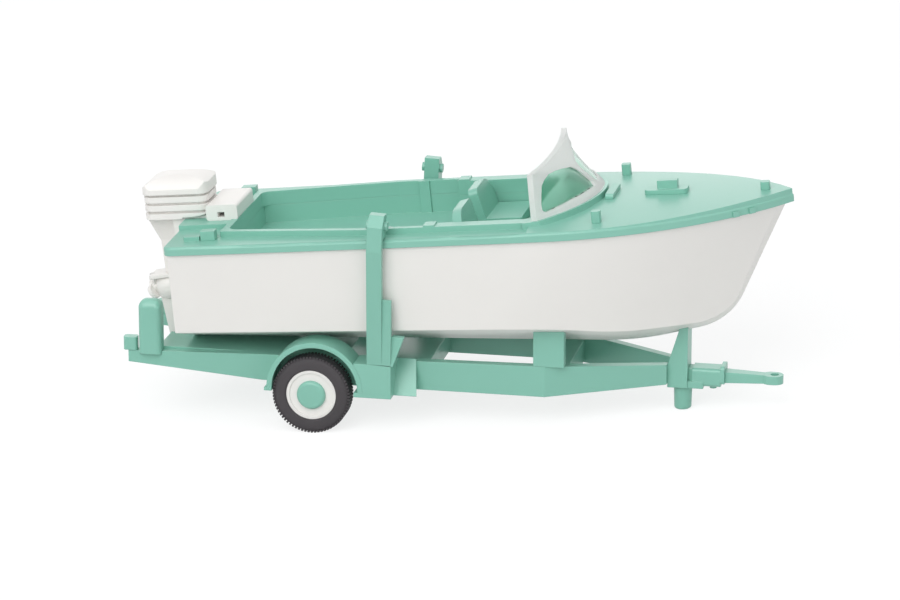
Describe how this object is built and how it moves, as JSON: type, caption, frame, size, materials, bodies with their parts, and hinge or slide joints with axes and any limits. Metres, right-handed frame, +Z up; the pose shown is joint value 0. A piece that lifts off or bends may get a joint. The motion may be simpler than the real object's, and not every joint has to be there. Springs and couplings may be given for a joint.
{
  "type": "model speedboat on a trailer",
  "caption": "Small plastic model of an open speedboat with an outboard motor, strapped on a two-wheeled boat trailer.",
  "frame": {"origin": "centre of the bounding box's underside, on the floor that the wheels and the leg stand on", "axes": "+X towards the bow and the drawbar, +Y to port, +Z up"},
  "size_m": [0.0668, 0.0248, 0.0263],
  "materials": {
    "mint_plastic": "satin moulded plastic",
    "white_plastic": "satin moulded plastic",
    "frosted_plastic": "frosted translucent plastic",
    "clear_plastic": "clear polished plastic",
    "tyre_black": "matt, finely ribbed",
    "steel": "drawn pin"
  },
  "bodies": {
    "boat_and_trailer": {"axle_beam": "mint_plastic", "bow_chock": "mint_plastic", "bow_cleat": "mint_plastic", "bow_lights": "mint_plastic", "cockpit_tub": "mint_plastic", "coupling_sleeve": "mint_plastic", "deck": "mint_plastic", "deck_posts": "mint_plastic", "drawbar": "mint_plastic", "fender_port": "mint_plastic", "fender_starboard": "mint_plastic", "front_bar": "mint_plastic", "horn": "mint_plastic", "hull": "white_plastic", "hull_bracket_port": "mint_plastic", "hull_bracket_starboard": "mint_plastic", "knee_bar": "mint_plastic", "motor_cowl": "white_plastic", "motor_gearcase": "white_plastic", "motor_leg": "white_plastic", "motor_mount": "white_plastic", "motor_propeller": "white_plastic", "rail_port": "mint_plastic", "rail_starboard": "mint_plastic", "seat_port": "mint_plastic", "seat_starboard": "mint_plastic", "stanchion_foot_port": "mint_plastic", "stanchion_foot_starboard": "mint_plastic", "stanchion_port": "mint_plastic", "stanchion_starboard": "mint_plastic", "stern_blocks": "mint_plastic", "support_leg": "mint_plastic", "tail_lamps": "mint_plastic", "tail_plate": "mint_plastic", "tail_post_port": "mint_plastic", "tail_post_starboard": "mint_plastic", "window_panes": "clear_plastic", "windscreen": "frosted_plastic"},
    "wheelset": {"axle": "steel", "hub_cap_port": "mint_plastic", "hub_cap_starboard": "mint_plastic", "tyre_port": "tyre_black", "tyre_starboard": "tyre_black", "wheel_rim_port": "white_plastic", "wheel_rim_starboard": "white_plastic"}
  },
  "joints": [
    {"name": "wheelset_spin", "type": "hinge", "parent": "boat_and_trailer", "child": "wheelset", "pos_m": [-0.0138, 0, 0.0039], "axis": [0, 1, 0], "continuous": true}
  ]
}
